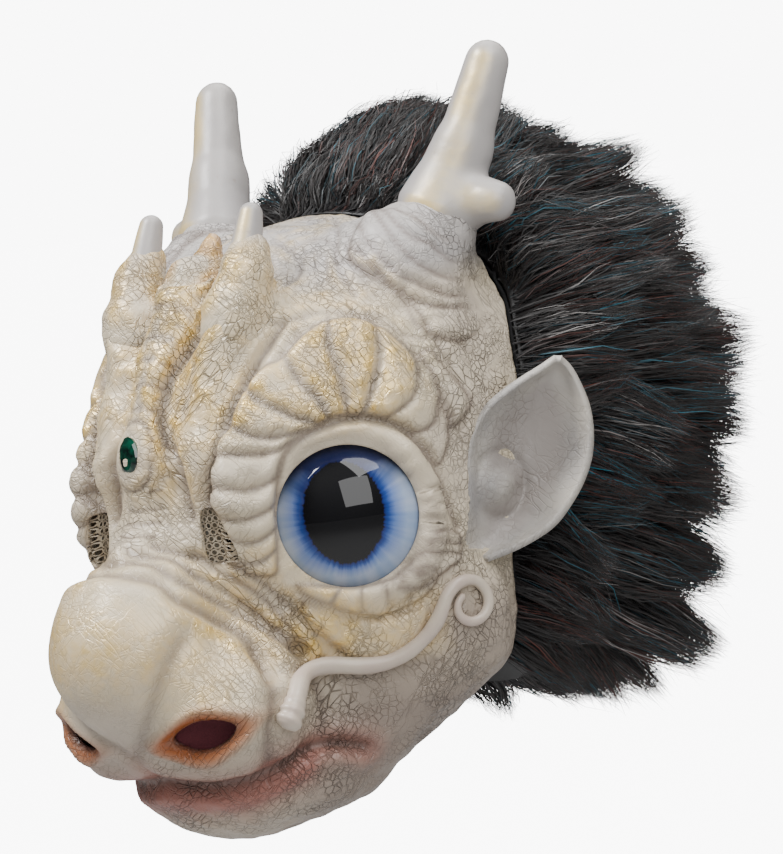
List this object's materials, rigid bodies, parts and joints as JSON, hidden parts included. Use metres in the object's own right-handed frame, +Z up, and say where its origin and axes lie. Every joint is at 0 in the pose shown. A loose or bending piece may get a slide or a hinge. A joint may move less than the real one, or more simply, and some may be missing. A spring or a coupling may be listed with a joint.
{
  "type": "dragon mask",
  "caption": "Full-head dragon mask with a cast latex face, domed eyes, straight knobbed horns, leaf ears, curled whiskers and a dark long-pile mane.",
  "frame": {"origin": "the point inside the crown where the wearer's head bears, which holds the mask up", "axes": "+Z up, the face looks along -Y, +X is the mask's own left"},
  "size_m": [0.2618, 0.3886, 0.3288],
  "materials": {
    "latex_skin": "painted latex, pearly beige with gold highlights and grey-violet shading, satin",
    "horn_latex": "painted latex, smooth pale grey with a pearl sheen",
    "ear_latex": "painted latex, grey-beige outside and pink-brown inside, satin",
    "whisker_latex": "painted latex, smooth, pale beige",
    "eye_dome": "clear gloss dome over a dark pupil and a pale to deep blue iris",
    "gem_stone": "faceted, deep emerald, high gloss",
    "window_net": "pierced metal net painted grey-brown",
    "nostril_cloth": "maroon cloth, matte",
    "hood_cloth": "black stretch cloth, matte",
    "mane_fur": "long-pile fur, black and grey with teal and red-brown strands"
  },
  "bodies": {
    "root": {"face_shell": "latex_skin", "hood": "hood_cloth", "mane": "mane_fur", "horn_left": "horn_latex", "horn_right": "horn_latex", "brow_spike_left": "horn_latex", "brow_spike_right": "horn_latex", "ear_left": "ear_latex", "ear_right": "ear_latex", "eye_left": "eye_dome", "eye_right": "eye_dome", "window_mesh_left": "window_net", "window_mesh_right": "window_net", "forehead_gem": "gem_stone", "whisker_left": "whisker_latex", "whisker_right": "whisker_latex", "nostril_cloth_left": "nostril_cloth", "nostril_cloth_right": "nostril_cloth"}
  },
  "joints": []
}
